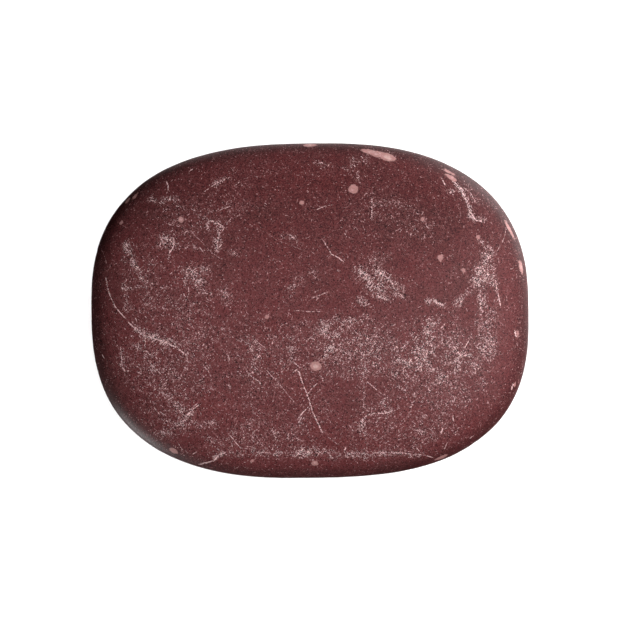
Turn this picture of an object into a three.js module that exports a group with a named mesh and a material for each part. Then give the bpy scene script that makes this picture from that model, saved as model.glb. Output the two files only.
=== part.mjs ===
// A flat tumbled stone, one solid: it lies on a small flat spot, with its long axis along X and Z up.
// Millimetres. The origin is the middle of the flat spot, under the middle of the outline.
import * as THREE from "three";

// Driving dimensions.
const LENGTH = 60;
const WIDTH = 46;
const HEIGHT = 15;
const GIRTH_HEIGHT = 7.4;
const FLAT_SHARE = 0.26;

// The outline is a rounded rectangle between an ellipse (2) and a square; each corner is its own.
const BACK_RIGHT_CORNER = 2.55;
const BACK_LEFT_CORNER = 2.6;
const FRONT_LEFT_CORNER = 2.58;
const FRONT_RIGHT_CORNER = 2.73;

// The section: how flat the two faces are, and how full the side is.
const FACE_FLATNESS = 3;
const SIDE_FULLNESS = 2.2;

// The girth, the widest line of the side, rises and falls a little on its way round.
const GIRTH_WAVES = [
  { height: 0.35, count: 1, start: 0.6 },
  { height: 0.25, count: 2, start: 2.1 },
];

// The tumbled faces are never true: broad shallow swells cross them. Directions are in degrees.
const TOP_SWELLS = [
  { height: 0.12, length: 37, direction: 24, start: 0.9 },
  { height: 0.09, length: 26, direction: 118, start: 2.6 },
  { height: 0.05, length: 17, direction: 71, start: 4.4 },
];
const UNDER_SWELLS = [
  { height: 0.1, length: 33, direction: 142, start: 1.7 },
  { height: 0.07, length: 21, direction: 39, start: 3.8 },
];

// How finely the surface is faceted.
const SEGMENTS = 80;
const TOP_RINGS = 20;
const UNDER_RINGS = 18;

// How far the outline reaches from the middle in a direction, by the superellipse of that corner.
function outlineReach(angle) {
  const across = Math.cos(angle);
  const back = Math.sin(angle);
  const right = across >= 0;
  const corner =
    back >= 0
      ? right ? BACK_RIGHT_CORNER : BACK_LEFT_CORNER
      : right ? FRONT_RIGHT_CORNER : FRONT_LEFT_CORNER;
  const x = Math.abs(across) / (LENGTH / 2);
  const y = Math.abs(back) / (WIDTH / 2);
  return (x ** corner + y ** corner) ** (-1 / corner);
}

// How much of the full rise is left at a share of the reach: 1 at the middle, 0 at the girth.
function rise(share) {
  return Math.max(0, 1 - share ** FACE_FLATNESS) ** (1 / SIDE_FULLNESS);
}

function girthHeight(angle) {
  return GIRTH_WAVES.reduce(
    (height, wave) => height + wave.height * Math.sin(wave.count * angle + wave.start),
    GIRTH_HEIGHT,
  );
}

function swell(waves, x, y) {
  return waves.reduce((height, wave) => {
    const direction = THREE.MathUtils.degToRad(wave.direction);
    const along = x * Math.cos(direction) + y * Math.sin(direction);
    return height + wave.height * Math.sin((2 * Math.PI * along) / wave.length + wave.start);
  }, 0);
}

// The section as shares: x is the share of the reach, y is +1 at the top and -1 at the flat spot.
function section() {
  const flatRise = rise(FLAT_SHARE);
  const flatTurn = Math.asin(FLAT_SHARE ** (FACE_FLATNESS / 2));
  const points = [new THREE.Vector2(0, -1), new THREE.Vector2(FLAT_SHARE / 2, -1)];
  for (let ring = 0; ring < UNDER_RINGS; ring++) {
    const turn = THREE.MathUtils.lerp(flatTurn, Math.PI / 2, ring / UNDER_RINGS);
    const share = Math.sin(turn) ** (2 / FACE_FLATNESS);
    points.push(new THREE.Vector2(share, -rise(share) / flatRise));
  }
  for (let ring = 0; ring < TOP_RINGS; ring++) {
    const turn = THREE.MathUtils.lerp(Math.PI / 2, 0, ring / TOP_RINGS);
    const share = Math.sin(turn) ** (2 / FACE_FLATNESS);
    points.push(new THREE.Vector2(share, rise(share)));
  }
  points.push(new THREE.Vector2(0, 1));
  return points;
}

// The round lathed section is drawn out to the outline, and its rise is fitted to the girth.
function stoneGeometry() {
  const geometry = new THREE.LatheGeometry(section(), SEGMENTS);
  geometry.rotateX(Math.PI / 2);
  const position = geometry.attributes.position;
  for (let i = 0; i < position.count; i++) {
    const share = Math.hypot(position.getX(i), position.getY(i));
    const angle = Math.atan2(position.getY(i), position.getX(i));
    const part = position.getZ(i);
    const x = share * outlineReach(angle) * Math.cos(angle);
    const y = share * outlineReach(angle) * Math.sin(angle);
    const girth = girthHeight(angle);
    const inner = 1 - share ** 4;
    let z = girth;
    if (part > 0) {
      z += part * (HEIGHT - girth) + inner * (swell(TOP_SWELLS, x, y) - swell(TOP_SWELLS, 0, 0));
    } else {
      const clear = THREE.MathUtils.smoothstep(share, FLAT_SHARE, 2 * FLAT_SHARE);
      z += part * girth + clear * inner * swell(UNDER_SWELLS, x, y);
    }
    position.setXYZ(i, x, y, z);
  }
  geometry.computeVertexNormals();
  return geometry;
}

const rhyolite = new THREE.MeshStandardMaterial({
  color: 0x6c3f40,
  roughness: 0.35,
  metalness: 0,
});

const stone = new THREE.Mesh(stoneGeometry(), rhyolite);
stone.name = "stone";

const flatStone = new THREE.Group();
flatStone.add(stone);

export default flatStone;
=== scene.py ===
import math
import random

import bpy
import numpy as np
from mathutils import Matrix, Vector, noise


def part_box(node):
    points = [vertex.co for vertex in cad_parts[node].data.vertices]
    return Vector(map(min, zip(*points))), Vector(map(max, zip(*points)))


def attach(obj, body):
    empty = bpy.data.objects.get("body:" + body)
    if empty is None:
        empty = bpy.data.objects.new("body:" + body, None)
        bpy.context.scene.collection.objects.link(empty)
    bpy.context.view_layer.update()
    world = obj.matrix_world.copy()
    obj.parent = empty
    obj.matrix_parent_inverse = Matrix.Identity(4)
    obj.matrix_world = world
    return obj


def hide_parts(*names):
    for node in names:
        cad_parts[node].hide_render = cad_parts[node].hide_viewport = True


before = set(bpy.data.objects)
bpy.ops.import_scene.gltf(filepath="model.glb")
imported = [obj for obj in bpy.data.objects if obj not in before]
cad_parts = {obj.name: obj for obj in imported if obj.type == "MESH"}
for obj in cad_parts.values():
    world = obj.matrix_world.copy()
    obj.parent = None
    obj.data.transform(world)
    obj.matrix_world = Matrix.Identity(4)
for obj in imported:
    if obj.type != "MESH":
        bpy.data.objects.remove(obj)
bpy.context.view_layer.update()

# The camera looks straight down on the stone, as on a copy stand, through a long macro lens.
# The stone's long axis lies a degree off the level of the picture, so the camera is rolled by that.
PICTURE_WIDTH_PX = 620
STONE_WIDTH_PX = 436.4
LENS_MM = 100
SENSOR_MM = 36
ROLL_DEG = -1.02
CAMERA_OFF_MIDDLE_MM = (0.03, 0.11)

stone_low, stone_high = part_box("stone")
LENGTH_MM = (stone_high.x - stone_low.x) * 1000
WIDTH_MM = (stone_high.y - stone_low.y) * 1000
GIRTH_MM = 7.4
focal_px = PICTURE_WIDTH_PX * LENS_MM / SENSOR_MM
camera_height = (LENGTH_MM * focal_px / STONE_WIDTH_PX + GIRTH_MM) / 1000

camera_data = bpy.data.cameras.new("copy stand camera")
camera_data.lens = LENS_MM
camera_data.sensor_width = SENSOR_MM
camera_data.clip_start = 0.01
camera = bpy.data.objects.new("copy stand camera", camera_data)
camera.location = (CAMERA_OFF_MIDDLE_MM[0] / 1000, CAMERA_OFF_MIDDLE_MM[1] / 1000, camera_height)
camera.rotation_euler = (0, 0, math.radians(ROLL_DEG))
bpy.context.scene.collection.objects.link(camera)
bpy.context.scene.camera = camera

# The stone is one piece of porphyritic rhyolite: a maroon groundmass with pale feldspar grains.
# It was tumbled flat and round with softer pebbles, then polished, and has been handled since, so its
# faces carry fine pale scratches, bruises where it has knocked on others, and a few small pits.
HEIGHT_MM = 15
FLAT_SHARE = 0.26
BACK_RIGHT_CORNER = 2.55
BACK_LEFT_CORNER = 2.6
FRONT_LEFT_CORNER = 2.58
FRONT_RIGHT_CORNER = 2.73
FACE_FLATNESS = 3
SIDE_FULLNESS = 2.2
GIRTH_WAVES = [(0.35, 1, 0.6), (0.25, 2, 2.1)]
TOP_SWELLS = [(0.12, 37, 24, 0.9), (0.09, 26, 118, 2.6), (0.05, 17, 71, 4.4)]
UNDER_SWELLS = [(0.1, 33, 142, 1.7), (0.07, 21, 39, 3.8)]
CELLS = 220
PROFILE_STEPS = 4000


def outline_reach(angle):
    """How far the outline reaches from the middle: each corner is a superellipse of its own."""
    across, back = np.cos(angle), np.sin(angle)
    behind = np.where(across >= 0, BACK_RIGHT_CORNER, BACK_LEFT_CORNER)
    before = np.where(across >= 0, FRONT_RIGHT_CORNER, FRONT_LEFT_CORNER)
    corner = np.where(back >= 0, behind, before)
    x = np.abs(across) / (LENGTH_MM / 2)
    y = np.abs(back) / (WIDTH_MM / 2)
    return (x**corner + y**corner) ** (-1 / corner)


def rise(share):
    """How much of the full rise is left at a share of the reach: 1 at the middle, 0 at the girth."""
    return np.clip(1 - share**FACE_FLATNESS, 0, None) ** (1 / SIDE_FULLNESS)


def girth_height(angle):
    return GIRTH_MM + sum(height * np.sin(count * angle + start) for height, count, start in GIRTH_WAVES)


def swell(waves, x, y):
    """Broad shallow waves across a face: height, length, direction in degrees, and start."""
    total = 0 * x
    for height, length, direction, start in waves:
        along = x * math.cos(math.radians(direction)) + y * math.sin(math.radians(direction))
        total = total + height * np.sin(2 * math.pi * along / length + start)
    return total


def smooth(value, low, high):
    t = np.clip((value - low) / (high - low), 0, 1)
    return t * t * (3 - 2 * t)


# The surface is unrolled from the middle of a face outwards, so that marks keep their size on the side.
mean_reach = (LENGTH_MM + WIDTH_MM) / 4
turn = np.linspace(0, math.pi / 2, PROFILE_STEPS)
section_share = np.sin(turn) ** (2 / FACE_FLATNESS)
section_rise = np.cos(turn) ** (2 / SIDE_FULLNESS) * HEIGHT_MM / 2
steps = np.hypot(np.diff(section_share * mean_reach), np.diff(section_rise))
walked = np.concatenate(([0], np.cumsum(steps)))
side_walk = walked - section_share * mean_reach


def unrolled_reach(share, angle):
    """The way along the surface from the middle of a face to that share of the reach."""
    return share * outline_reach(angle) + np.interp(share, section_share, side_walk)


def unroll(x, y):
    """Where a place on the upper face, seen from above, comes to lie when the face is unrolled."""
    angle = np.arctan2(y, x)
    share = np.minimum(np.hypot(x, y) / outline_reach(angle), 1)
    way = unrolled_reach(share, angle)
    return way * np.cos(angle), way * np.sin(angle)


# Both faces are a square net of cells drawn out to the outline, closer where the side turns over.
half = CELLS // 2
i, j = np.meshgrid(np.arange(CELLS + 1), np.arange(CELLS + 1), indexing="ij")
u, v = i / half - 1, j / half - 1
ring = np.maximum(np.abs(u), np.abs(v))
wide = np.abs(u) >= np.abs(v)
slant = np.where(wide, v, u) / np.where(ring > 0, ring, 1) * math.pi / 4
facing = np.where(wide, np.where(u < 0, math.pi - slant, slant),
                  np.where(v < 0, slant - math.pi / 2, math.pi / 2 - slant))
angle = np.arctan2(WIDTH_MM * np.sin(facing), LENGTH_MM * np.cos(facing))
share = np.interp(ring, walked / walked[-1], section_share)
share[ring >= 1] = 1

inner = np.ones_like(ring, bool)
inner[[0, -1], :] = False
inner[:, [0, -1]] = False
top_count = (CELLS + 1) ** 2
top_index = np.arange(top_count).reshape(ring.shape)
under_index = top_index.copy()
under_index[inner] = top_count + np.arange(inner.sum())

angle = np.concatenate([angle.ravel(), angle[inner]])
share = np.concatenate([share.ravel(), share[inner]])
under = np.arange(len(share)) >= top_count
reach = outline_reach(angle)
x, y = share * reach * np.cos(angle), share * reach * np.sin(angle)
girth = girth_height(angle)
edge_fade = 1 - share**4
top_z = girth + rise(share) * (HEIGHT_MM - girth)
top_z += edge_fade * (swell(TOP_SWELLS, x, y) - swell(TOP_SWELLS, 0, 0))
off_flat = smooth(share, FLAT_SHARE, 2 * FLAT_SHARE)
under_z = girth * (1 - np.minimum(rise(share) / rise(FLAT_SHARE), 1))
under_z += off_flat * edge_fade * swell(UNDER_SWELLS, x, y)
z = np.where(under, under_z, top_z)

a, b = (slice(0, -1), slice(0, -1)), (slice(1, None), slice(0, -1))
c, d = (slice(1, None), slice(1, None)), (slice(0, -1), slice(1, None))
cell_u, cell_v = (i[a] + 0.5) / half - 1, (j[a] + 0.5) / half - 1
outward = cell_u * cell_v > 0


def triangles(index, upward):
    """Two triangles to a cell, cut along the diagonal that points away from the middle."""
    first = np.where(outward[..., None], np.stack([index[a], index[b], index[c]], -1),
                     np.stack([index[a], index[b], index[d]], -1))
    second = np.where(outward[..., None], np.stack([index[a], index[c], index[d]], -1),
                      np.stack([index[b], index[c], index[d]], -1))
    faces = np.concatenate([first.reshape(-1, 3), second.reshape(-1, 3)])
    return faces if upward else faces[:, ::-1]


faces = np.concatenate([triangles(top_index, True), triangles(under_index, False)])
face_under = np.arange(len(faces)) >= len(faces) // 2
places = np.stack([x, y, z], 1)
stone_mesh = bpy.data.meshes.new("rhyolite flat stone")
stone_mesh.from_pydata((places / 1000).tolist(), [], faces.tolist())
stone_mesh.polygons.foreach_set("use_smooth", np.ones(len(faces), bool))
stone_mesh.update()

# Its real relief: hand-felt unevenness, shallow dents from knocks, and pits where a grain came out.
# Dents on the upper face are placed in millimetres from the middle: x, y, radius and depth.
DENTS = [
    (-13.1, -2.5, 0.35, 0.09), (-20.4, -5.7, 0.4, 0.06), (-12.6, -19.6, 0.9, 0.07), (12.2, -6.6, 1.1, 0.03),
    (23.0, 5.2, 1.4, 0.03), (8.6, 3.4, 1.6, 0.03), (-15.6, 5.2, 1.2, 0.02), (-17.4, -14.1, 1.1, 0.03),
    (20.0, -6.4, 0.8, 0.03), (-24.2, 7.6, 1.2, 0.03), (4.6, 6.6, 0.3, 0.04), (-1.2, -18.6, 1.3, 0.03),
    (22.6, 12.7, 0.8, 0.04), (14.3, 3.2, 0.3, 0.04), (-9.0, 4.4, 0.3, 0.03), (17.3, -2.6, 0.3, 0.04),
]
LOOSE_DENTS = 90
LOOSE_DENT_RADIUS_MM = (0.3, 0.9)
LOOSE_DENT_DEPTH_MM = (0.01, 0.035)
DENT_SEED = 11
BROAD_UNEVEN_MM, BROAD_UNEVEN_SIZE_MM = 0.05, 6.5
SMALL_UNEVEN_MM, SMALL_UNEVEN_SIZE_MM = 0.012, 1.7
SMALL_UNEVEN_START = Vector((7, 3, 1))

normals = np.zeros(len(places) * 3, np.float32)
stone_mesh.vertices.foreach_get("normal", normals)
normals = normals.reshape(-1, 3)
relief = np.array([
    BROAD_UNEVEN_MM * noise.noise(Vector(p) / BROAD_UNEVEN_SIZE_MM)
    + SMALL_UNEVEN_MM * noise.noise(Vector(p) / SMALL_UNEVEN_SIZE_MM + SMALL_UNEVEN_START)
    for p in places.tolist()
])


def hollow(near):
    """The round form of a dent: 1 in its middle, and 0 from its radius on."""
    return np.where(near < 1, (1 - np.minimum(near, 1) ** 2) ** 2, 0)


for dent_x, dent_y, radius, depth in DENTS:
    near = np.hypot(x - dent_x, y - dent_y) / radius
    relief -= np.where(under, 0, depth * hollow(near))
chance = random.Random(DENT_SEED)
for _ in range(LOOSE_DENTS):
    centre = places[chance.randrange(len(places))]
    radius = chance.uniform(*LOOSE_DENT_RADIUS_MM)
    near = np.linalg.norm(places - centre, axis=1) / radius
    relief -= chance.uniform(*LOOSE_DENT_DEPTH_MM) * hollow(near)
relief *= np.where(under, off_flat, 1)
places = places + normals * relief[:, None]
stone_mesh.vertices.foreach_set("co", (places / 1000).ravel().astype(np.float32))

# The unrolled surface, in millimetres: the top with the side is one sheet, the underside another.
SHEET_EDGE_SHARE = 0.9
UNDER_SHEET_PLACE = (90, 40)
TOP_SHEET_SPAN = 104
UNDER_SHEET_SPAN = 130
SHEET_MARGIN = 0.006
FAR_OFF = 1000

way = unrolled_reach(share, angle)
full_way = unrolled_reach(np.ones_like(angle), angle)
top_way = np.where(under, 2 * full_way - way, way)
directions = np.stack([np.cos(angle), np.sin(angle)], 1)
top_sheet = top_way[:, None] * directions
under_sheet = way[:, None] * directions
corner_under = np.repeat(face_under & (share[faces].mean(1) < SHEET_EDGE_SHARE), 3)
corner_vertex = faces.ravel()
corner_top = top_sheet[corner_vertex]
corner_bottom = under_sheet[corner_vertex]
sheet = np.where(corner_under[:, None], corner_bottom + UNDER_SHEET_PLACE, corner_top)
stone_mesh.attributes.new("sheet", "FLOAT_VECTOR", "CORNER").data.foreach_set(
    "vector", np.column_stack([sheet, np.zeros(len(sheet))]).ravel().astype(np.float32))

top_middle = 1 - SHEET_MARGIN - corner_top[~corner_under][:, 1].max() / TOP_SHEET_SPAN
under_middle = SHEET_MARGIN - corner_bottom[corner_under][:, 1].min() / UNDER_SHEET_SPAN
bake_sheet = np.where(
    corner_under[:, None],
    corner_bottom / UNDER_SHEET_SPAN + (0.5, under_middle),
    corner_top / TOP_SHEET_SPAN + (0.5, top_middle),
)
stone_mesh.uv_layers.new(name="OFBake").data.foreach_set("uv", bake_sheet.ravel().astype(np.float32))


def sheet_around(spot):
    """The unrolled sheet that a vertex's marks are drawn on: the top with the side, or the underside."""
    on_side = share[spot] > SHEET_EDGE_SHARE
    return top_sheet if on_side else np.where(under[:, None], under_sheet, FAR_OFF)


def keep_values(name, values):
    """Keeps one number for each vertex in the mesh, where the material reads it."""
    stone_mesh.attributes.new(name, "FLOAT", "POINT").data.foreach_set("value", values.astype(np.float32))


# Feldspar grains, cut through by the polish so that they lie flush: place, length, width and tilt.
# Places are millimetres from the middle as seen from above; the sizes are those on the surface.
GRAINS = {
    "back round": (6.1, 16.2, 1.3, 1.25, 0),
    "back small": (-0.8, 14.5, 0.62, 0.62, 0),
    "front": (0.7, -7.4, 1.5, 1.25, 0),
    "front companion": (1.45, -6.6, 0.5, 0.45, 0),
    "back left faint": (-17.0, 12.5, 0.8, 0.8, 0),
    "back right": (15.3, 12.0, 0.62, 0.6, 0),
    "right uneven": (17.6, 6.9, 0.85, 0.6, 20),
    "right uneven foot": (17.6, 6.5, 0.35, 0.6, 0),
    "right round": (22.8, 9.5, 0.7, 0.6, 0),
    "right small": (20.7, 5.0, 0.8, 0.5, -20),
    "middle left": (-5.7, -0.7, 0.5, 0.5, 0),
    "back wedge thin": (8.7, 21.4, 2.9, 1.1, -15),
    "back wedge": (9.6, 21.1, 3.2, 1.3, -17),
    "back wedge broad": (10.8, 20.7, 2.6, 1.5, -20),
    "back shoulder thin": (19.3, 18.5, 1.8, 0.55, -30),
    "back shoulder": (19.5, 17.7, 1.8, 0.75, -36),
    "right shoulder": (27.4, 10.5, 2.6, 0.7, -62),
    "right side": (28.8, 5.4, 1.9, 0.9, -78),
    "front right": (17.6, -20.3, 1.9, 0.8, 21),
    "front left": (-18.9, -18.7, 1.2, 1.0, -35),
    "left shoulder": (-23.5, 16.0, 1.4, 0.6, 49),
    "left side": (-24.6, 15.4, 1.1, 0.7, 55),
    "left low": (-25.3, 12.4, 0.7, 0.5, 60),
    "back side": (0.4, 22.6, 2.0, 1.2, 0),
    "front pale": (0.3, -20.6, 1.0, 0.85, 0),
    "front streak": (-8.1, -20.1, 0.7, 0.3, 45),
    "right girth": (28.1, -3.5, 0.9, 0.4, -88),
    "right girth low": (27.7, -10.5, 1.0, 0.45, 80),
}
LOOSE_GRAINS = 34
LOOSE_GRAIN_LENGTH_MM = (0.4, 0.9)
LOOSE_GRAIN_STRETCH = (1, 1, 1, 2)
LOOSE_GRAIN_ROUNDNESS = (0.5, 1)
GRAIN_SEED = 5
GRAIN_REACH = 1.0

grain_edge = np.full(len(places), GRAIN_REACH)


def add_grain(sheet_points, centre, length, width, tilt_deg):
    """Lowers grain_edge to the distance from a grain's outline, negative inside it."""
    offset = sheet_points - centre
    tilt = math.radians(tilt_deg)
    along = offset[:, 0] * math.cos(tilt) + offset[:, 1] * math.sin(tilt)
    across = offset[:, 1] * math.cos(tilt) - offset[:, 0] * math.sin(tilt)
    scaled = np.hypot(along / (length / 2), across / (width / 2))
    np.minimum(grain_edge, (scaled - 1) * width / 2, out=grain_edge)


for grain_x, grain_y, length, width, tilt in GRAINS.values():
    add_grain(top_sheet, np.array(unroll(grain_x, grain_y)), length, width, tilt)
chance = random.Random(GRAIN_SEED)
loose = 0
while loose < LOOSE_GRAINS:
    spot = chance.randrange(top_count, len(places))
    if share[spot] < FLAT_SHARE / 2:
        continue
    loose += 1
    length = chance.uniform(*LOOSE_GRAIN_LENGTH_MM) * chance.choice(LOOSE_GRAIN_STRETCH)
    width = length * chance.uniform(*LOOSE_GRAIN_ROUNDNESS)
    points = sheet_around(spot)
    add_grain(points, points[spot], length, width, chance.uniform(0, 180))
keep_values("grain_edge", grain_edge)

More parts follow.
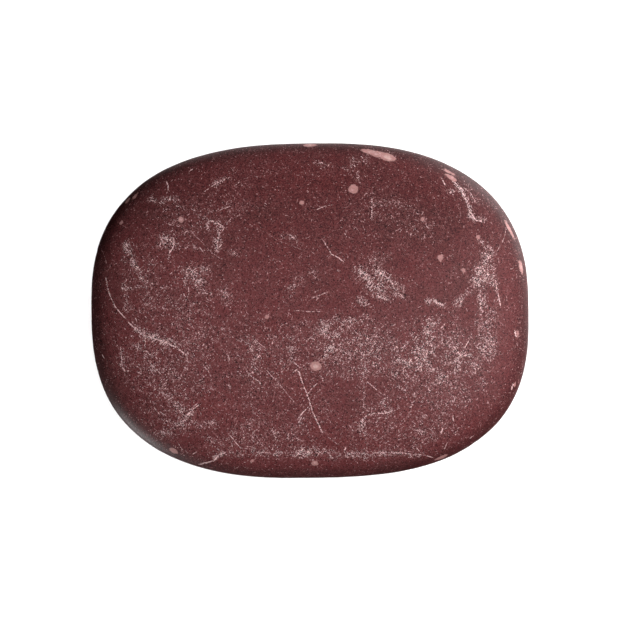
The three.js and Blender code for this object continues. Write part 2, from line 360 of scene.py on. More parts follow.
# Bruises: patches where knocks have whitened the surface, each with its half width, its strength and
# the places it runs through, in millimetres from the middle. Their outlines are ragged, not round.
BRUISES = {
    "left shoulder": (0.5, 0.95, [(-24.8, 9.5), (-24.2, 8.3), (-23.7, 7.1)]),
    "left shoulder, low": (0.45, 0.75, [(-23.6, 7.1), (-23.0, 6.0), (-22.5, 5.0), (-22.2, 3.8)]),
    "left shoulder, outer": (0.4, 0.45, [(-24.9, 8.2), (-24.9, 6.8)]),
    "left twin dots": (0.4, 0.8, [(-24.5, 3.4), (-23.3, 3.6)]),
    "left edge": (0.5, 0.4, [(-24.8, 2.4), (-24.5, 1.2), (-24.7, 0.3)]),
    "left rings": (0.9, 0.65, [(-19.2, 9.6), (-18.3, 9.0)]),
    "hook stem": (0.45, 0.7, [(-11.9, 10.6), (-12.1, 9.6), (-12.3, 8.3)]),
    "hook bow": (0.45, 0.4, [(-13.3, 11.8), (-12.4, 12.0), (-11.4, 11.2)]),
    "right of the hook": (0.6, 0.5, [(-10.6, 8.1), (-9.7, 8.0)]),
    "left of the hook": (0.5, 0.5, [(-16.0, 9.0), (-15.5, 9.0)]),
    "left middle": (0.9, 0.65, [(-16.4, 5.6), (-14.0, 5.5)]),
    "left middle, low": (0.8, 0.6, [(-16.8, 4.4), (-14.9, 4.1)]),
    "left middle, foot": (0.9, 0.4, [(-14.4, 2.8), (-13.0, 2.5)]),
    "left of the middle": (0.8, 0.4, [(-11.4, 3.2), (-11.0, 1.4)]),
    "arc smear": (0.55, 0.9, [(-23.2, -2.1), (-22.3, -2.9), (-20.6, -3.4)]),
    "arc end": (0.5, 0.6, [(-19.6, -3.6), (-17.8, -4.4)]),
    "under the arc": (0.5, 0.5, [(-23.4, -4.6), (-21.3, -5.6)]),
    "left upright": (0.45, 0.5, [(-25.5, -4.6), (-25.5, -6.6), (-25.0, -7.7)]),
    "left dots": (0.45, 0.45, [(-21.8, -6.4), (-20.0, -8.3), (-20.0, -9.6), (-19.3, -11.2)]),
    "left bright dots": (0.4, 0.8, [(-19.5, -11.2), (-19.1, -11.3)]),
    "left soft": (0.6, 0.45, [(-15.0, -4.7), (-14.5, -4.9)]),
    "front left wave": (0.5, 0.8, [(-19.4, -14.4), (-18.1, -15.0), (-16.9, -15.1), (-15.9, -14.7)]),
    "front left wave, end": (0.45, 0.55, [(-15.2, -15.2), (-13.2, -14.9)]),
    "front left slope": (0.6, 0.85, [(-17.1, -14.2), (-16.3, -13.4)]),
    "front left dots": (0.6, 0.5, [(-18.2, -12.4), (-17.4, -12.9)]),
    "front left rim": (0.6, 0.6, [(-19.4, -16.3), (-20.6, -16.3)]),
    "edge chip": (0.4, 0.9, [(-13.2, -19.6), (-12.0, -19.0)]),
    "heart, left arm": (0.7, 0.85, [(6.5, 5.4), (7.6, 4.3), (8.3, 3.2)]),
    "heart, right arm": (0.65, 0.8, [(9.3, 5.0), (10.8, 3.9), (11.9, 2.6)]),
    "heart, tail": (0.4, 0.6, [(11.4, 2.5), (12.9, 1.6)]),
    "heart": (1.8, 0.6, [(8.4, 3.9), (9.8, 3.2)]),
    "heart, above": (1.0, 0.3, [(8.6, 6.2), (10.2, 7.2)]),
    "heart, foot": (0.4, 0.95, [(9.2, 1.75), (10.3, 1.3)]),
    "heart, left foot": (0.45, 0.85, [(6.5, 1.3), (7.5, 0.6)]),
    "centre spot": (0.5, 0.9, [(1.7, -1.9), (2.1, -2.3)]),
    "centre spot, low": (0.7, 0.6, [(1.6, -2.8), (2.0, -3.1)]),
    "centre row": (0.4, 0.5, [(2.2, -1.7), (4.0, -1.5), (7.4, -1.1)]),
    "centre tail": (0.5, 0.6, [(3.3, -3.3), (3.1, -4.4), (2.4, -5.0), (1.7, -5.9)]),
    "centre hatch": (0.8, 0.5, [(-1.3, 4.4), (-2.3, 2.7)]),
    "above the centre": (0.4, 0.45, [(-3.4, 10.2), (-1.9, 9.8)]),
    "above the centre, right": (0.4, 0.45, [(0.3, 5.4), (1.0, 5.2)]),
    "left of centre": (0.8, 0.4, [(-2.7, -4.0), (-3.0, -6.6)]),
    "further left of centre": (0.8, 0.35, [(-7.6, -4.3), (-7.4, -7.4)]),
    "below the cross": (0.6, 0.7, [(-1.3, -14.9), (-1.2, -15.7)]),
    "upright row": (0.4, 0.3, [(7.5, -7.8), (7.0, -9.2), (6.9, -10.6), (6.9, -13.0)]),
    "bent scratch, end": (0.7, 0.6, [(9.5, -12.5), (10.3, -13.2)]),
    "bent scratch, start": (0.5, 0.6, [(6.7, -14.9), (6.6, -16.2)]),
    "front": (0.8, 0.75, [(-1.9, -18.9), (0.8, -18.9)]),
    "front, left": (0.5, 0.5, [(-7.6, -19.0), (-3.0, -19.2)]),
    "front, far left": (0.5, 0.45, [(-11.4, -18.9), (-9.4, -19.3)]),
    "front, right": (0.6, 0.65, [(1.6, -18.9), (3.4, -19.6)]),
    "front, right of that": (0.55, 0.75, [(4.6, -19.5), (7.8, -19.9)]),
    "front row": (0.4, 0.65, [(8.4, -19.3), (12.2, -19.5), (14.6, -19.8)]),
    "front pale grain, above": (0.5, 0.5, [(-0.9, -19.8), (0.2, -20.0)]),
    "right core": (0.9, 0.9, [(14.0, -5.9), (15.4, -5.9)]),
    "right core, low": (0.6, 0.8, [(13.2, -7.3), (15.6, -7.4)]),
    "right core, left": (0.4, 1.0, [(11.9, -6.7), (12.9, -6.7)]),
    "right core, foot": (0.4, 0.9, [(15.1, -8.2), (16.0, -8.2)]),
    "right core, above": (0.55, 0.7, [(16.2, -1.8), (15.8, -3.3), (16.3, -4.4)]),
    "star": (0.4, 0.95, [(19.3, -5.3), (20.0, -6.4), (21.2, -6.2)]),
    "star foot": (0.45, 0.85, [(19.6, -7.2), (19.5, -8.4)]),
    "below the core": (0.5, 0.85, [(18.1, -8.7), (16.6, -9.7), (16.1, -10.5)]),
    "right dash": (0.35, 0.9, [(18.8, -12.6), (19.3, -12.6)]),
    "far front right": (0.7, 0.5, [(23.0, -9.8), (22.8, -11.0)]),
    "front right, soft": (0.8, 0.5, [(14.3, -16.6), (15.9, -17.1)]),
    "front right, low": (0.6, 0.4, [(19.0, -15.9), (19.6, -16.8)]),
    "right smear": (0.4, 0.85, [(15.9, 1.2), (17.2, 0.6), (17.8, 0.5)]),
    "right arc": (0.45, 0.65, [(19.4, 0.6), (20.6, 1.5)]),
    "right arc, head": (0.4, 0.85, [(21.2, 2.0), (21.8, 2.1)]),
    "right band, top": (0.45, 0.7, [(23.2, 9.0), (24.0, 8.4), (24.8, 7.3)]),
    "right band": (0.9, 0.85, [(23.9, 7.0), (23.2, 5.4), (22.8, 4.0)]),
    "right band, middle": (0.75, 0.95, [(22.3, 3.8), (24.4, 4.0)]),
    "right band, outer": (0.5, 0.55, [(24.6, 6.4), (25.0, 4.2)]),
    "right band, low": (0.6, 0.7, [(23.0, 3.2), (23.2, 1.4), (23.0, -0.2)]),
    "right band, low outer": (0.5, 0.45, [(24.9, 3.2), (25.4, 1.0)]),
    "right fine": (1.5, 0.5, [(24.0, -1.2), (23.8, -4.8)]),
    "right fine, low": (1.3, 0.4, [(24.0, -5.4), (22.8, -8.0)]),
    "shoulder chain": (0.38, 0.95, [(20.0, 17.0), (20.8, 15.8), (21.6, 14.1), (22.0, 12.8), (22.5, 11.8)]),
    "shoulder chain, hook": (0.35, 0.85, [(22.9, 11.6), (24.0, 11.8)]),
    "shoulder chain, outer": (0.4, 0.5, [(21.4, 16.2), (22.6, 14.4)]),
    "shoulder foot": (0.4, 0.7, [(18.3, 16.1), (19.4, 15.8)]),
    "back right, soft": (0.6, 0.12, [(12.0, 14.2), (13.6, 13.6), (14.6, 12.9)]),
    "back upright": (0.4, 0.35, [(8.6, 15.4), (8.6, 12.2)]),
    "back soft": (0.45, 0.55, [(9.4, 14.0), (10.0, 14.0)]),
    "by the wedge": (0.7, 0.45, [(6.2, 20.2), (7.4, 20.3)]),
    "by the wedge, low": (0.5, 0.4, [(5.0, 19.3), (6.4, 19.1)]),
    "by the wedge, foot": (0.4, 0.4, [(6.7, 18.3), (6.6, 17.5)]),
    "beyond the wedge": (0.45, 0.6, [(12.5, 18.6), (12.9, 18.5)]),
    "back dots": (0.5, 0.65, [(1.4, 19.8), (2.0, 19.5)]),
    "back dots, row": (0.35, 0.4, [(-0.2, 18.5), (0.9, 18.4)]),
    "back left": (0.5, 0.75, [(-12.2, 17.6), (-11.0, 18.0)]),
    "back left rim": (0.5, 0.55, [(-21.3, 15.3), (-19.6, 15.1), (-17.4, 15.4)]),
    "dusty field": (3.4, 0.42, [(5.6, -5.2), (12.2, -6.0)]),
    "dusty field, right": (3.6, 0.42, [(17.0, -4.4), (19.6, -6.6)]),
    "dusty field, low": (2.6, 0.3, [(13.0, -10.6), (19.5, -11.5)]),
    "left field": (4.6, 0.26, [(-21.0, 4.6), (-18.6, -1.4)]),
    "front field": (3.2, 0.28, [(7.0, -15.4), (16.4, -15.4)]),
    "front edge": (1.0, 0.2, [(-13.0, -18.7), (0.0, -19.2), (14.0, -19.0)]),
    "middle field": (5.5, 0.17, [(-7.0, -11.0), (-1.0, -13.0)]),
    "middle band": (4.5, 0.24, [(-14.0, -4.0), (-2.0, -4.5), (6.0, -5.5)]),
    "front left field": (4.5, 0.28, [(-22.2, -7.0), (-19.6, -12.4)]),
    "front left field, inner": (2.6, 0.22, [(-17.5, -8.0), (-15.0, -9.0)]),
    "front field, left": (2.2, 0.3, [(-13.0, -16.5), (-3.0, -16.8)]),
    "back field": (3.2, 0.15, [(7.0, 12.5), (12.6, 12.5)]),
    "back left field": (3.2, 0.2, [(-17.6, 12.2), (-11.4, 13.6)]),
}
BRUISE_WARP_MM = 0.55
BRUISE_WARP_SIZE_MM = 1.3
BRUISE_WARP_STARTS = (Vector((9.3, 1.5, 7.9)), Vector((2.7, 6.3, 4.1)))
BRUISE_EDGE = 2.6
LOOSE_BRUISES = 70
LOOSE_BRUISE_LENGTH_MM = (0.3, 3.5)
LOOSE_BRUISE_HALF_WIDTH_MM = (0.4, 1.2)
LOOSE_BRUISE_STRENGTH = (0.3, 0.9)
BRUISE_SEED = 23

bruise = np.zeros(len(places))
warp = BRUISE_WARP_MM * np.array([
    [noise.noise(Vector(p) / BRUISE_WARP_SIZE_MM + start) for start in BRUISE_WARP_STARTS]
    for p in places.tolist()
])


def route_of(points):
    """A route's points, moved from the plan to the unrolled surface."""
    return np.stack(unroll(*np.array(points, float).T), 1)


def follow(points, route):
    """How far each point is from a route, on which side, how far along, and the route's whole length."""
    lengths = np.hypot(*np.diff(route, axis=0).T)
    begun = np.concatenate(([0], np.cumsum(lengths)))
    nearest = np.full(len(points), np.inf)
    side, way = np.zeros(len(points)), np.zeros(len(points))
    for start, end, length, before in zip(route[:-1], route[1:], lengths, begun):
        line = (end - start) / length
        offset = points - start
        along = offset @ line
        across = offset[:, 1] * line[0] - offset[:, 0] * line[1]
        distance = np.hypot(along - np.clip(along, 0, length), across)
        closer = distance < nearest
        nearest = np.where(closer, distance, nearest)
        side = np.where(closer, across, side)
        way = np.where(closer, before + along, way)
    return nearest, side, way, begun[-1]


def add_bruise(sheet_points, route, half_width, strength):
    """Raises bruise towards the strength along a route, softly out to the half width."""
    distance = follow(sheet_points + warp, route)[0]
    patch = strength * np.exp(-(distance / half_width) ** BRUISE_EDGE)
    bruise[:] = 1 - (1 - bruise) * (1 - patch)


for half_width, strength, points in BRUISES.values():
    add_bruise(top_sheet, route_of(points), half_width, strength)
chance = random.Random(BRUISE_SEED)
for _ in range(LOOSE_BRUISES):
    spot = chance.randrange(top_count, len(places))
    points = sheet_around(spot)
    heading, length = chance.uniform(0, 2 * math.pi), chance.uniform(*LOOSE_BRUISE_LENGTH_MM)
    reached = points[spot] + length * np.array([math.cos(heading), math.sin(heading)])
    half_width = chance.uniform(*LOOSE_BRUISE_HALF_WIDTH_MM)
    add_bruise(points, np.stack([points[spot], reached]), half_width, chance.uniform(*LOOSE_BRUISE_STRENGTH))
keep_values("bruise", bruise)

# Painted light and shade in the groundmass colour: paler over the middle and the front of the stone than at
# its back, for the light falling there, and darker on the side than on the faces, for the shade on its side.
PAINTED_FRONT_LIGHT = 0.34
PAINTED_FRONT_LIGHT_Y_MM = (15, 3)
PAINTED_SIDE_SHADE = 0.43
PAINTED_SIDE_SHADE_SHARE = (0.90, 0.975)

tone = (1 + PAINTED_FRONT_LIGHT * smooth(y, *PAINTED_FRONT_LIGHT_Y_MM)) * (1 - PAINTED_SIDE_SHADE * smooth(share, *PAINTED_SIDE_SHADE_SHARE))
keep_values("tone", tone)

# The long scratches of the upper face. Each has its width, its strength and the places it runs through.
SCRATCHES = {
    "left arc": (0.15, 0.65, [(-27.5, 5.2), (-27.3, 3.8), (-26.9, 2.5), (-26.2, 1.0), (-24.8, -0.6)]),
    "left arc, middle": (0.16, 0.75, [(-24.6, -0.9), (-23.7, -1.8), (-22.7, -2.7), (-21.2, -3.3),
                                      (-19.6, -3.7)]),
    "left arc, end": (0.15, 0.7, [(-19.6, -3.8), (-18.0, -4.5), (-16.6, -5.6)]),
    "left arc, beside its end": (0.12, 0.65, [(-18.9, -3.3), (-17.4, -4.2)]),
    "under the arc": (0.14, 0.5, [(-24.3, -2.6), (-23.7, -3.4)]),
    "further under the arc": (0.13, 0.45, [(-22.3, -4.9), (-21.2, -5.7)]),
    "left dots": (0.11, 0.45, [(-21.7, -6.4), (-20.9, -7.3), (-20.0, -8.2)]),
    "left dots, right": (0.11, 0.35, [(-16.8, -7.2), (-17.2, -8.2), (-18.1, -8.9)]),
    "cross, long arm": (0.15, 0.85, [(-2.4, -8.2), (-1.9, -7.8), (-1.5, -8.2), (-1.3, -9.1), (-1.0, -10.0),
                                     (-0.4, -11.5), (0.1, -13.4), (0.8, -15.0), (1.45, -16.4)]),
    "cross, dots beyond": (0.12, 0.5, [(2.0, -16.8), (2.7, -17.4), (3.4, -18.0)]),
    "cross, tip": (0.12, 0.7, [(-2.8, -6.5), (-2.0, -7.0), (-1.2, -7.8)]),
    "cross, short arm": (0.14, 0.7, [(0.8, -9.7), (0.1, -10.3), (-0.5, -11.2)]),
    "cross, short arm, foot": (0.14, 0.7, [(-0.3, -12.7), (-1.2, -13.6), (-1.8, -14.4)]),
    "cross, right hook": (0.15, 0.65, [(1.2, -8.6), (1.5, -9.0), (1.6, -9.4)]),
    "left of the cross": (0.13, 0.65, [(-8.5, -8.1), (-7.8, -8.7), (-6.9, -9.3), (-6.6, -9.8)]),
    "faint slant": (0.1, 0.45, [(-5.9, -7.8), (-5.2, -8.6), (-3.9, -10.1), (-2.1, -12.4)]),
    "short slant": (0.12, 0.45, [(-7.4, -3.6), (-6.4, -4.6)]),
    "right of the cross": (0.11, 0.55, [(7.4, -9.5), (9.7, -11.5)]),
    "bent": (0.16, 0.6, [(6.7, -16.2), (6.7, -15.4), (6.8, -14.6), (7.5, -14.0), (8.7, -13.8), (9.7, -13.9),
                         (11.2, -13.5)]),
    "front": (0.16, 0.6, [(8.2, -19.3), (10.2, -19.3), (12.2, -19.4), (13.4, -19.6)]),
    "front, end": (0.15, 0.6, [(13.8, -19.6), (15.2, -19.8), (16.4, -20.2)]),
    "front slant": (0.12, 0.6, [(13.9, -18.2), (14.2, -18.9), (14.7, -19.5)]),
    "front right upright": (0.12, 0.55, [(18.3, -18.1), (18.1, -18.5), (17.9, -19.1)]),
    "front right rim": (0.15, 0.65, [(21.4, -17.7), (22.1, -17.2)]),
    "short bright": (0.18, 0.95, [(18.9, -14.5), (19.1, -15.1)]),
    "short bright, low": (0.2, 0.95, [(17.6, -16.2), (17.4, -16.7)]),
    "short bright, middle": (0.18, 0.9, [(4.3, -18.9), (4.6, -18.3)]),
    "front left slant": (0.15, 0.85, [(-21.2, -12.6), (-20.9, -13.0), (-20.5, -13.5)]),
    "double": (0.15, 0.85, [(-14.8, -12.2), (-15.9, -12.9), (-17.0, -14.0)]),
    "double, other": (0.13, 0.65, [(-15.3, -12.2), (-16.6, -13.1)]),
    "front left rim": (0.13, 0.5, [(-18.2, -17.4), (-17.7, -18.4), (-16.6, -19.1)]),
    "front left rim, other": (0.13, 0.6, [(-16.3, -19.2), (-15.5, -18.7)]),
    "front low slant": (0.12, 0.5, [(-11.0, -16.5), (-10.2, -17.6), (-9.6, -18.3), (-8.2, -18.5)]),
    "edge chip": (0.24, 0.85, [(-15.5, -20.7), (-14.4, -20.4), (-13.4, -20.1), (-12.8, -19.5),
                               (-12.2, -19.1)]),
    "edge chip, branch": (0.2, 0.7, [(-13.7, -19.5), (-12.9, -19.4), (-11.6, -18.8)]),
    "left upright": (0.14, 0.55, [(-25.6, -4.4), (-25.5, -5.6), (-25.5, -6.6), (-25.1, -7.7),
                                  (-24.2, -7.6)]),
    "left short": (0.13, 0.55, [(-23.4, -7.8), (-22.7, -8.1)]),
    "left rim": (0.15, 0.6, [(-28.3, -5.4), (-28.0, -5.9)]),
    "middle left short": (0.13, 0.7, [(-14.2, -7.2), (-13.5, -8.1)]),
    "faint upright": (0.1, 0.4, [(-15.9, 1.2), (-16.1, -1.1), (-15.4, -2.3)]),
    "left drop": (0.15, 0.5, [(-16.3, 3.9), (-16.1, 3.1), (-16.1, 2.5), (-16.4, 1.9), (-16.6, 1.5)]),
    "back left hook": (0.15, 0.65, [(-19.1, 17.9), (-18.8, 17.3), (-18.8, 16.7), (-19.0, 16.2)]),
    "back left hook, bar": (0.12, 0.5, [(-19.6, 17.8), (-19.2, 17.9)]),
    "back left slant": (0.15, 0.65, [(-16.0, 18.8), (-15.9, 19.2), (-15.5, 19.5)]),
    "back left dotted": (0.11, 0.5, [(-14.2, 16.0), (-12.8, 17.0), (-11.2, 17.9)]),
    "back left dotted, short": (0.11, 0.5, [(-9.8, 16.9), (-9.1, 17.5)]),
    "back left dotted, low": (0.11, 0.55, [(-12.0, 13.4), (-11.6, 13.8), (-10.5, 14.1)]),
    "hook": (0.13, 0.5, [(-13.6, 11.9), (-13.2, 12.3), (-12.6, 12.2), (-11.8, 11.8), (-11.2, 11.3),
                         (-11.5, 10.8)]),
    "hook, down": (0.16, 0.55, [(-11.9, 10.6), (-12.1, 9.6), (-12.3, 8.2)]),
    "left loop": (0.14, 0.75, [(-20.0, 10.3), (-19.2, 10.0), (-18.4, 9.7), (-18.0, 9.2), (-18.3, 8.5),
                               (-18.8, 7.9)]),
    "left loop, inner": (0.13, 0.6, [(-19.7, 9.8), (-19.9, 9.0), (-19.7, 8.5)]),
    "left dash": (0.12, 0.55, [(-19.1, 12.1), (-18.2, 11.8)]),
    "left bright dash": (0.16, 0.7, [(-16.6, 10.6), (-16.2, 11.0)]),
    "left falling dash": (0.13, 0.6, [(-14.6, 8.8), (-14.1, 8.1)]),
    "back dotted": (0.11, 0.6, [(1.0, 13.4), (2.1, 13.9), (3.3, 14.1)]),
    "back dash": (0.2, 0.8, [(-2.2, 9.9), (-1.8, 9.7)]),
    "back upright": (0.12, 0.6, [(8.6, 14.8), (8.5, 12.3)]),
    "back right rim": (0.15, 0.8, [(18.1, 17.7), (18.4, 17.1), (18.6, 16.6)]),
    "back right short": (0.14, 0.6, [(15.8, 11.1), (16.2, 10.7)]),
    "back right upright": (0.16, 0.85, [(13.7, 10.1), (13.6, 9.6)]),
    "right rim slant": (0.2, 0.75, [(22.0, 15.6), (22.6, 14.3)]),
    "shoulder grain, tail": (0.2, 0.9, [(20.0, 17.0), (20.8, 15.8), (21.2, 14.9), (21.6, 14.1)]),
    "shoulder chain": (0.18, 0.75, [(22.0, 12.8), (22.5, 11.8), (23.4, 11.7)]),
    "centre curve": (0.13, 0.65, [(2.0, 9.3), (2.6, 8.3), (3.0, 7.5), (4.0, 7.0), (4.7, 6.4)]),
    "centre slant": (0.13, 0.65, [(0.3, 1.7), (1.2, 2.0), (2.5, 2.5)]),
    "centre slant, short": (0.12, 0.5, [(0.6, 2.4), (1.4, 2.9)]),
    "centre dotted": (0.11, 0.5, [(-1.9, 0.1), (0.0, -0.1), (1.7, -0.1)]),
    "centre dash": (0.25, 0.8, [(3.8, 5.3), (4.1, 5.2)]),
    "heart, left": (0.16, 0.65, [(6.6, 5.4), (7.4, 4.7), (7.7, 4.1)]),
    "heart, right": (0.15, 0.65, [(9.6, 4.9), (10.5, 4.1), (11.3, 3.3)]),
    "heart, foot": (0.2, 0.8, [(9.1, 1.8), (9.9, 1.4), (10.4, 1.3)]),
    "right smear": (0.26, 0.6, [(16.6, 0.9), (17.8, 0.5)]),
    "right arc": (0.16, 0.5, [(19.4, 0.5), (20.4, 1.4)]),
    "right short": (0.15, 0.8, [(17.5, -2.6), (18.1, -2.0)]),
    "right upright": (0.11, 0.5, [(17.6, -3.0), (17.6, -4.7)]),
    "right slant": (0.12, 0.45, [(16.9, -5.0), (17.8, -5.3)]),
    "star, across": (0.15, 0.75, [(19.7, -6.6), (20.5, -6.4), (21.4, -6.2)]),
    "star, falling": (0.15, 0.7, [(19.1, -5.0), (19.7, -5.8), (20.3, -6.6)]),
    "star, rising": (0.15, 0.7, [(20.6, -5.4), (21.2, -4.4)]),
    "far right upright": (0.15, 0.8, [(25.1, 3.0), (25.4, 1.7), (25.7, 0.2)]),
    "far right upright, inner": (0.12, 0.5, [(22.9, 2.6), (22.9, -0.3)]),
    "right girth strokes": (0.25, 0.85, [(27.7, -3.2), (27.9, -4.0)]),
    "right girth strokes, low": (0.3, 0.75, [(27.5, -10.3), (27.2, -11.2)]),
    "front dash": (0.14, 0.5, [(-7.6, -18.9), (-5.7, -19.0)]),
    "front dash, right": (0.14, 0.5, [(-4.6, -18.8), (-3.5, -19.1)]),
    "front rising": (0.13, 0.5, [(-2.3, -19.6), (-1.2, -18.5)]),
    "front slant, middle": (0.13, 0.55, [(2.0, -19.0), (2.8, -20.0)]),
    "front streak, right": (0.16, 0.6, [(5.7, -20.2), (6.1, -20.7)]),
}
SCRATCH_CLEAR_MM = 0.45
SCRATCH_FADE_MM = 0.3
SCRATCH_TAPER_MM = 0.7
SCRATCH_STEP_MM = 0.2
CHANNELS = 3
SIDE_LIMIT = 20


def walk_along(route):
    """Places along a route, a step apart."""
    way = np.concatenate(([0], np.cumsum(np.hypot(*np.diff(route, axis=0).T))))
    at = np.arange(0, way[-1] + SCRATCH_STEP_MM, SCRATCH_STEP_MM)
    return np.stack([np.interp(at, way, route[:, 0]), np.interp(at, way, route[:, 1])], 1)


# Scratches that come close to one another are kept in different channels, so that each channel's
# signed distance from its nearest scratch stays even between the vertices. The three channels are the
# three parts of one vector.
channel_trails = [[] for _ in range(CHANNELS)]
side_of = np.ones((CHANNELS, len(places)))
strength_of = np.zeros((CHANNELS, len(places)))
nearest_of = np.full((CHANNELS, len(places)), np.inf)
for name, (width, strength, points) in SCRATCHES.items():
    route = route_of(points)
    trail = walk_along(route)
    for number, trails in enumerate(channel_trails):
        gaps = [np.hypot(*(trail[:, None] - other[None]).transpose(2, 0, 1)).min() for other in trails]
        if min(gaps, default=math.inf) > 2 * (SCRATCH_CLEAR_MM + SCRATCH_FADE_MM):
            break
    else:
        raise ValueError(f"no channel is free for the scratch {name}")
    trails.append(trail)
    distance, side, way, length = follow(top_sheet, route)
    taper = min(SCRATCH_TAPER_MM, length / 3)
    ends = smooth(way, -taper / 2, taper / 2) * smooth(length - way, -taper / 2, taper / 2)
    near = 1 - smooth(distance, SCRATCH_CLEAR_MM, SCRATCH_CLEAR_MM + SCRATCH_FADE_MM)
    closer = distance < nearest_of[number]
    nearest_of[number] = np.where(closer, distance, nearest_of[number])
    side_of[number] = np.where(closer, np.clip(side / (width / 2), -SIDE_LIMIT, SIDE_LIMIT), side_of[number])
    strength_of[number] = np.where(closer, strength * ends * near, strength_of[number])
for name, table in (("scratch_sides", side_of), ("scratch_strengths", strength_of)):
    stone_mesh.attributes.new(name, "FLOAT_VECTOR", "POINT").data.foreach_set(
        "vector", table.T.ravel().astype(np.float32))


# The finish is one polished rock cut through everywhere, so one material holds all of it. Groundmass,
# wear, long scratches, pits and feldspar are laid over one another in that order. Sums on values and
# colours are written out as they are reckoned, through this class.
class Field:
    """One output of a shader node; arithmetic on it adds Math nodes to the same material."""

    def __init__(self, socket):
        self.socket = socket

    @staticmethod
    def node(tree, kind, settings, values, output=0):
        """Adds a node: its settings are set first, then its sockets get values or links."""
        made = tree.nodes.new(kind)
        for name, value in settings.items():
            setattr(made, name, value)
        for name, value in values.items():
            if isinstance(value, Field):
                tree.links.new(value.socket, made.inputs[name])
            else:
                made.inputs[name].default_value = value
        return Field(made.outputs[output])

    def also(self, output):
        """Another output of the same node."""
        return Field(self.socket.node.outputs[output])

    def join(self, kind, settings, values, output=0):
        """A node in this field's own tree."""
        return Field.node(self.socket.id_data, kind, settings, values, output)

    def math(self, operation, *values):
        return self.join("ShaderNodeMath", {"operation": operation}, dict(enumerate(values)))

    def __add__(self, other):
        return self.math("ADD", self, other)

    __radd__ = __add__

    def __sub__(self, other):
        return self.math("SUBTRACT", self, other)

    def __rsub__(self, other):
        return self.math("SUBTRACT", other, self)

    def __mul__(self, other):
        return self.math("MULTIPLY", self, other)

    __rmul__ = __mul__

    def __abs__(self):
        return self.math("ABSOLUTE", self)

    def most(self, other):
        return self.math("MAXIMUM", self, other)

    def least(self, other):
        return self.math("MINIMUM", self, other)

    def ramp(self, low, high):
        """0 at low and 1 at high, with a straight rise between them."""
        return self.join("ShaderNodeMapRange", {}, {"Value": self, "From Min": low, "From Max": high})

    def fade(self, low, high):
        """0 at low and 1 at high, with a soft turn at both; high may be the lesser of the two."""
        return self.join("ShaderNodeMapRange", {"interpolation_type": "SMOOTHSTEP"},
                         {"Value": self, "From Min": low, "From Max": high})

    def mix(self, without, covered):
        """The first colour where this field is 0, and the second where it is 1."""
        return self.join("ShaderNodeMix", {"data_type": "RGBA"}, {0: self, 6: without, 7: covered}, 2)

    def vector(self, operation, other):
        return self.join("ShaderNodeVectorMath", {"operation": operation}, {0: self, 1: other})

    def plus(self, other):
        return self.vector("ADD", other)

    def less(self, other):
        return self.vector("SUBTRACT", other)

    def times(self, other):
        return self.vector("MULTIPLY", other)

    def scaled(self, factor):
        return self.join("ShaderNodeVectorMath", {"operation": "SCALE"}, {0: self, "Scale": factor})

    def parts(self):
        x = self.join("ShaderNodeSeparateXYZ", {}, {0: self})
        return x, x.also(1), x.also(2)


GROUND = (0.108, 0.0245, 0.0258, 1)
GROUND_RED = (0.115, 0.0240, 0.0250, 1)
GROUND_BROWN = (0.098, 0.0245, 0.0250, 1)
HAZE = (0.24, 0.108, 0.111, 1)
ROSE = (0.42, 0.178, 0.181, 1)
DUST = (0.94, 0.67, 0.66, 1)
FELDSPAR = (0.51, 0.255, 0.242, 1)
FELDSPAR_PALE = (0.68, 0.44, 0.41, 1)
PIT_SHADE_AND_DARK_FLECK = (0.014, 0.006, 0.006, 1)
CLOUD_MM = 7.5
FLECK_MM = 1.2
FINE_MM = 0.24
CRYSTAL_MM = 0.11
CRYSTAL_CONTRAST = 1.0
GRIT_MM = 0.20
MIDDLE_GREY = (0.5, 0.5, 0.5)
DRIFT_SIZE_MM = 1.5
DRIFT_MM = 0.5

rhyolite = bpy.data.materials.new("tumbled rhyolite")
rhyolite.use_nodes = True
tree = rhyolite.node_tree
tree.nodes.clear()
body = Field.node(tree, "ShaderNodeTexCoord", {}, {}, "Object").scaled(1000)


def kept(name, output="Fac"):
    """What the mesh keeps under that name at each place."""
    return Field.node(tree, "ShaderNodeAttribute", {"attribute_name": name}, {}, output)


sheet_place = kept("sheet", "Vector")
bruised = kept("bruise")
edge_of_grain = kept("grain_edge")
# The painted light and shade kept as tone: paler towards the front, darker on the side.
painted_front_light_and_side_shade = kept("tone")


def mottle(size, detail=2.0, roughness=0.5, place=body, output="Fac"):
    """Cloudy noise, its clouds about that many millimetres across; through the body unless told where."""
    return place.join("ShaderNodeTexNoise", {"noise_dimensions": "3D"},
                      {"Vector": place, "Scale": 1 / size, "Detail": detail, "Roughness": roughness}, output)


drift = mottle(DRIFT_SIZE_MM, 1.0, output="Color").less(MIDDLE_GREY)
wandering = sheet_place.plus(drift.scaled(DRIFT_MM))


def cells(size, shift, place=wandering, randomness=0.9):
    """A net of uneven cells on the unrolled surface: the offset from each cell's middle, and its lot."""
    moved = place.plus(shift)
    net = moved.join("ShaderNodeTexVoronoi", {"voronoi_dimensions": "2D", "feature": "F1"},
                     {"Vector": moved, "Scale": 1 / size, "Randomness": randomness}, "Position")
    return moved.less(net), net.also("Color")


def hairlines(size, reach, width, bend, shift, chance, soft=0.8):
    """Fine scratches in every direction, one to a cell of that size in about that share of the cells."""
    offset, lot = cells(size, shift)
    turn, present, curve = lot.parts()
    turned = offset.join("ShaderNodeVectorRotate", {"rotation_type": "Z_AXIS"},
                         {"Vector": offset, "Angle": turn * (2 * math.pi)})
    along, across, _ = turned.parts()
    line = abs(across + along * along * (curve - 0.5) * (bend / reach))
    drawn = line.fade(width, width * 0.2) * abs(along).fade(reach, reach * 0.4)
    return drawn * (chance - present).ramp(0, soft) * (0.25 + 0.75 * curve * curve)


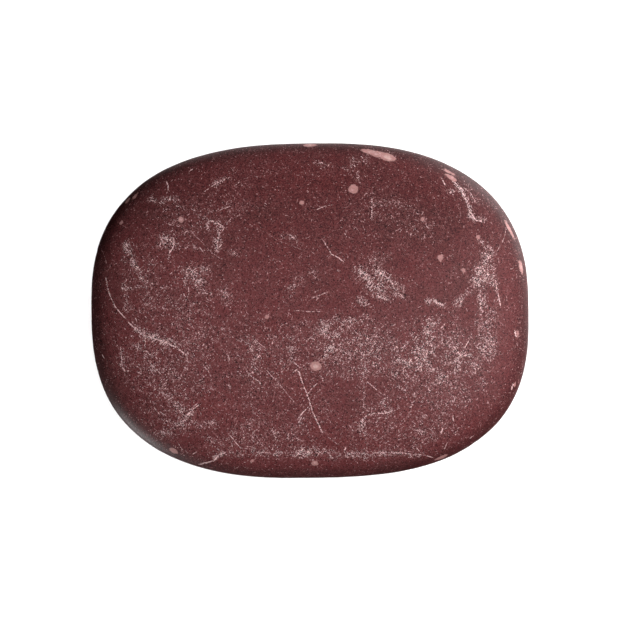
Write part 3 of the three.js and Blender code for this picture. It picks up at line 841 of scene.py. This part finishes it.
def strokes(turn_deg, length, width, shift):
    """Noise drawn out in one direction on the unrolled surface, like many short scrapes side by side."""
    turned = wandering.join("ShaderNodeVectorRotate", {"rotation_type": "Z_AXIS"},
                            {"Vector": wandering.plus(shift), "Angle": math.radians(turn_deg)})
    return mottle(1, 1.0, 0.5, turned.times((1 / length, 1 / width, 1)))


def specks(size, radius, shift, chance):
    """Dots of that radius, one to a cell of that size in the share of cells given."""
    offset, lot = cells(size, shift)
    far = offset.join("ShaderNodeVectorMath", {"operation": "LENGTH"}, {0: offset}, "Value")
    _, present, bright = lot.parts()
    return far.fade(radius, radius * 0.3) * (chance - present).fade(0, 0.05) * (0.35 + 0.65 * bright)


# Groundmass: maroon, with faint clouds, and crystals just too small to tell apart.
clouds = mottle(CLOUD_MM, 3.0, 0.55)
flecks = mottle(FLECK_MM, 2.0, 0.6)
fine = mottle(FINE_MM, 1.0, 0.5)
crystal_shade, crystal_lot, crystal_dust = cells(CRYSTAL_MM, (0, 0, 0), sheet_place, 1.0)[1].parts()
ground = clouds.fade(0.52, 0.68).mix(GROUND, GROUND_RED)
ground = clouds.fade(0.48, 0.34).mix(ground, GROUND_BROWN)
grit = mottle(GRIT_MM, 1.0)
ground = ground.scaled(
    1 + CRYSTAL_CONTRAST * (crystal_shade - 0.5) + 0.2 * (grit - 0.5) + 0.25 * (flecks - 0.5))

# Wear: how much dust and scraping there is at a place, thick in the bruises and patchy elsewhere.
PATCH_MM = 1.5
FIELD_MM = 7.0
BEND_MM = 0.8
WEAR_ALL_OVER = 0.34
WEAR_AT_MOST = 1.3

bends = mottle(BEND_MM, 1.0)
patches = mottle(PATCH_MM, 3.0, 0.65)
fields = mottle(FIELD_MM, 2.0, 0.5, sheet_place)
threads = abs(flecks - 0.5 + 0.15 * (bends - 0.5)).fade(0.07, 0)
wear = WEAR_ALL_OVER + 0.4 * (patches - 0.5) + 0.2 * (fields - 0.5)
wear = (wear + bruised * (0.27 + 0.5 * (patches - 0.25) + 0.6 * threads)).most(0)
worn = wear.least(WEAR_AT_MOST)

# Dust lies in short scrapes in a few directions, in single crystals, in flecks and in fine scratches.
# Scrapes have a direction in degrees, a length, a width and a start in the noise. Fine scratches have a
# cell size, half a length, half a width, a bend, and a start of their net, all in millimetres.
FALLING_SCRAPES = (38, 0.80, 0.15, (3, 1, 5))
RISING_SCRAPES = (-50, 0.70, 0.14, (9, 4, 2))
LEVEL_SCRAPES = (-8, 0.60, 0.14, (1, 8, 7))
LEVEL_SCRAPES_FEWER = 0.03
DIRECTION_MM = 3.1
UNEVEN_MM = 0.16
FLECKED_MM = 0.13
SHORT_HAIRLINES = [
    (0.55, 0.30, 0.072, 0.8, (1.3, 2.1, 0)),
    (0.62, 0.34, 0.068, 0.9, (5.7, 8.3, 0)),
    (0.95, 0.55, 0.072, 1.0, (13.1, 3.3, 0)),
    (1.05, 0.60, 0.070, 1.0, (19.4, 7.2, 0)),
]
LONG_HAIRLINES = [
    (1.60, 0.95, 0.072, 0.9, (23.9, 11.8, 0)),
    (2.60, 1.50, 0.070, 0.8, (29.2, 15.5, 0)),
]
STRAY_HAIRLINE = (11.0, 5.2, 0.055, 0.5, (31, 3, 0))
STRAY_CHANCE, STRAY_SOFTNESS = 0.35, 0.05
LONG_STRENGTH, STRAY_STRENGTH = 0.85, 0.6

direction = 0.4 * (mottle(DIRECTION_MM, 1.0) - 0.5)
falling = strokes(*FALLING_SCRAPES) + direction
rising = strokes(*RISING_SCRAPES) - direction
level = strokes(*LEVEL_SCRAPES) - LEVEL_SCRAPES_FEWER
scrape_dust_and_shade = falling.most(rising).most(level) + 0.16 * wear
# Painted shade: where worn, the groundmass is darkened as the scrapes' noise rises towards a scrape, for the
# little shadow beside each scrape.
ground = ground.scaled(1 - wear.least(1) * scrape_dust_and_shade.fade(0.54, 0.70) * 0.3)
uneven, _, _ = cells(UNEVEN_MM, (3.1, 7.7, 0), sheet_place, 1.0)[1].parts()
scraped = scrape_dust_and_shade.fade(0.72, 0.88) * (0.4 + 0.6 * worn + 0.5 * bruised) * (0.35 + 0.65 * uneven)
dusty = (0.01 + 0.20 * wear - crystal_lot).fade(0, 0.02) * (0.15 + 0.85 * crystal_dust * crystal_dust)
dusty = dusty * (0.4 + 0.6 * worn + 0.3 * bruised)
flecked = (mottle(FLECKED_MM, 1.0) + 0.10 * wear).fade(0.65, 0.75)
flecked = flecked * (0.3 + 0.5 * worn) * (2 * wear).least(1)
short = (0.12 + 0.9 * wear).least(0.68)
long = (0.22 + 0.6 * wear).least(0.6)
loose_lines = hairlines(*STRAY_HAIRLINE, STRAY_CHANCE, STRAY_SOFTNESS) * STRAY_STRENGTH
for line in SHORT_HAIRLINES:
    loose_lines = loose_lines.most(hairlines(*line, short))
for line in LONG_HAIRLINES:
    loose_lines = loose_lines.most(hairlines(*line, long) * LONG_STRENGTH)
broken = (fine + 0.3 * (crystal_shade - 0.5)).fade(0.38, 0.62)

# The long scratches are chains of whitened specks: broken, and wider where they are strong.
RAGGED = 2.4

ragged = (fine - 0.5) * RAGGED
sides, strengths = kept("scratch_sides", "Vector"), kept("scratch_strengths", "Vector")
scratched = None
for side, strength in zip(sides.parts(), strengths.parts()):
    drawn = abs(side + ragged).fade(1.5, 0.4) * strength
    scratched = drawn if scratched is None else scratched.most(drawn)

pale = scraped.most(dusty).most(flecked)
pale = pale.most(loose_lines * (0.5 + 1.2 * broken)).most(scratched * (0.5 + 1.3 * broken))
pale = (pale * (0.9 + 0.35 * worn)).least(1)
# The groundmass colour, hazed where worn, is scaled by the painted light and shade.
colour = (wear.fade(0.05, 1.4) * 0.52).mix(ground, HAZE).scaled(painted_front_light_and_side_shade)
colour = pale.fade(0, 0.75).mix(colour, ROSE)
colour = pale.fade(0.38, 0.96).mix(colour, DUST)

# Pits and dark flecks. The pits are painted near-black, as painted shade in their hollows over a shallow dip
# in the bump; the dark flecks and darkened crystals, more where it is worn, are partly painted shadow beside
# the bright ones. Pits have a cell size, a radius and a start of their net in millimetres.
DARK_FLECKS = (70, 0.26, 0.18, (6, 6, 1))
LARGE_PITS = (3.4, 0.17, (2, 19, 0))
SMALL_PITS = (0.9, 0.10, (5, 13, 0))
LARGE_PIT_CHANCE = 0.22

dark = (strokes(*DARK_FLECKS) + 0.06 * wear).fade(0.66, 0.76)
pits = specks(*LARGE_PITS, LARGE_PIT_CHANCE).most(specks(*SMALL_PITS, 0.06 + 0.12 * wear))
peppered = (crystal_lot + 0.25 * wear).fade(1, 1.02) * 0.9
# Painted shade in the pits and beside the bright flecks, with the darker crystals, all in one near-black.
colour = (dark * 0.65).most(peppered).most(pits).mix(colour, PIT_SHADE_AND_DARK_FLECK)

# Feldspar: pink, clouded, with a ragged edge and often a paler core.
WOBBLE_MM = 0.30
EDGE_SOFTNESS_MM = 0.07
CORE_MM = 0.55
CORE_DEPTH_MM = 0.45
GRAIN_COVER = 0.94

wobble = (fine - 0.5) * WOBBLE_MM + (bends - 0.5) * WOBBLE_MM
grain = (edge_of_grain + wobble).fade(EDGE_SOFTNESS_MM, -EDGE_SOFTNESS_MM)
core = (mottle(CORE_MM, 1.0) - 0.8 * edge_of_grain.most(-CORE_DEPTH_MM)).fade(0.66, 1.0)
feldspar = core.mix(FELDSPAR, FELDSPAR_PALE).scaled(0.85 + 0.3 * crystal_shade)
colour = (grain * GRAIN_COVER).mix(colour, feldspar)

# The polish is a satin one, duller in the dust, with marks only hundredths of a millimetre deep.
SATIN = 0.38
DULLER_IN_DUST = 0.2
PIT_DEPTH_MM = 0.05
DARK_FLECK_DEPTH_MM = 0.012
SCRATCH_DEPTH_MM = 0.008

rough = SATIN + 0.10 * fine + DULLER_IN_DUST * pale - 0.03 * grain
height = 0.010 * fine + 0.003 * crystal_shade - SCRATCH_DEPTH_MM * pale
height = height - PIT_DEPTH_MM * pits - DARK_FLECK_DEPTH_MM * dark
bumped = height.join("ShaderNodeBump", {}, {"Strength": 1.0, "Distance": 0.001, "Height": height}, "Normal")
shader = Field.node(tree, "ShaderNodeBsdfPrincipled", {}, {
    "Base Color": colour, "Roughness": rough, "IOR": 1.5, "Specular IOR Level": 0.10, "Normal": bumped,
})
surface = tree.nodes.new("ShaderNodeOutputMaterial")
tree.links.new(shader.socket, surface.inputs["Surface"])

stone = bpy.data.objects.new("flat_stone", stone_mesh)
stone_mesh.materials.append(rhyolite)
bpy.context.scene.collection.objects.link(stone)
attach(stone, "root")
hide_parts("stone")

# The stone lies on a plain pale table. The stone sees neither the table nor its shadow, because the
# lamps below the table's level stand for the light that a pale table throws up at its sides.
FLOOR_HALF = 4.0
FLOOR_COLOUR = (0.90, 0.90, 0.90, 1)

floor_mesh = bpy.data.meshes.new("table")
floor_mesh.from_pydata([(-FLOOR_HALF, -FLOOR_HALF, 0), (FLOOR_HALF, -FLOOR_HALF, 0),
                        (FLOOR_HALF, FLOOR_HALF, 0), (-FLOOR_HALF, FLOOR_HALF, 0)], [], [(0, 1, 2, 3)])
floor = bpy.data.objects.new("table", floor_mesh)
bpy.context.scene.collection.objects.link(floor)
paper = bpy.data.materials.new("plain paper")
paper.use_nodes = True
paper.node_tree.nodes["Principled BSDF"].inputs["Base Color"].default_value = FLOOR_COLOUR
paper.node_tree.nodes["Principled BSDF"].inputs["Roughness"].default_value = 0.9
paper.node_tree.nodes["Principled BSDF"].inputs["Specular IOR Level"].default_value = 0.1
floor_mesh.materials.append(paper)
floor.visible_diffuse = False
floor.visible_glossy = False
floor.visible_shadow = False

# Plain soft studio light: a broad box from the right with weaker ones high above, at the back right and
# low at the back right edge, the table's glow, and a box that lights the table alone. The pale room is
# seen only by the camera.
LIGHT_DISTANCE = 1.5


def soft_box(name, azimuth_deg, elevation_deg, width, depth, watts):
    """A rectangular soft light on a sphere about the stone, facing it."""
    azimuth, elevation = math.radians(azimuth_deg), math.radians(elevation_deg)
    level = math.cos(elevation) * LIGHT_DISTANCE
    up = math.sin(elevation) * LIGHT_DISTANCE
    place = Vector((level * math.cos(azimuth), level * math.sin(azimuth), up))
    lamp = bpy.data.lights.new(name, "AREA")
    lamp.shape = "RECTANGLE"
    lamp.size = width
    lamp.size_y = depth
    lamp.energy = watts
    box = bpy.data.objects.new(name, lamp)
    box.location = place
    box.rotation_euler = place.to_track_quat("Z", "Y").to_euler()
    box.visible_camera = False
    bpy.context.scene.collection.objects.link(box)
    return box


soft_box("key", -6, 46, 1.1, 0.8, 13.5)
soft_box("high right", -10, 62, 0.9, 0.9, 6.0)
soft_box("high front", -72, 75, 0.9, 0.9, 3.2)
soft_box("top", 0, 89, 0.9, 0.9, 2.0)
soft_box("back right", 30, 28, 0.9, 0.6, 4.2)
soft_box("back right rim", 50, 3, 0.5, 0.1, 4.0)
soft_box("table glow, right", 34, -20, 1.6, 0.8, 28)
soft_box("table glow, right, steep", 20, -60, 1.4, 0.8, 4.5)
soft_box("table glow, back", 90, -45, 1.2, 0.8, 3.2)
soft_box("table glow, front left", -134, -28, 0.5, 0.8, 9)
paper_light = soft_box("paper light", 90, 80, 2.6, 2.6, 65)
only_floor = bpy.data.collections.new("lit by the paper light")
only_floor.objects.link(floor)
paper_light.light_linking.receiver_collection = only_floor

world = bpy.data.worlds.new("room")
bpy.context.scene.world = world
world.use_nodes = True
world.node_tree.nodes["Background"].inputs["Color"].default_value = (0.95, 0.95, 0.95, 1)
world.node_tree.nodes["Background"].inputs["Strength"].default_value = 1.0
world.cycles_visibility.diffuse = False
world.cycles_visibility.glossy = False
bpy.context.scene.view_settings.view_transform = "Standard"
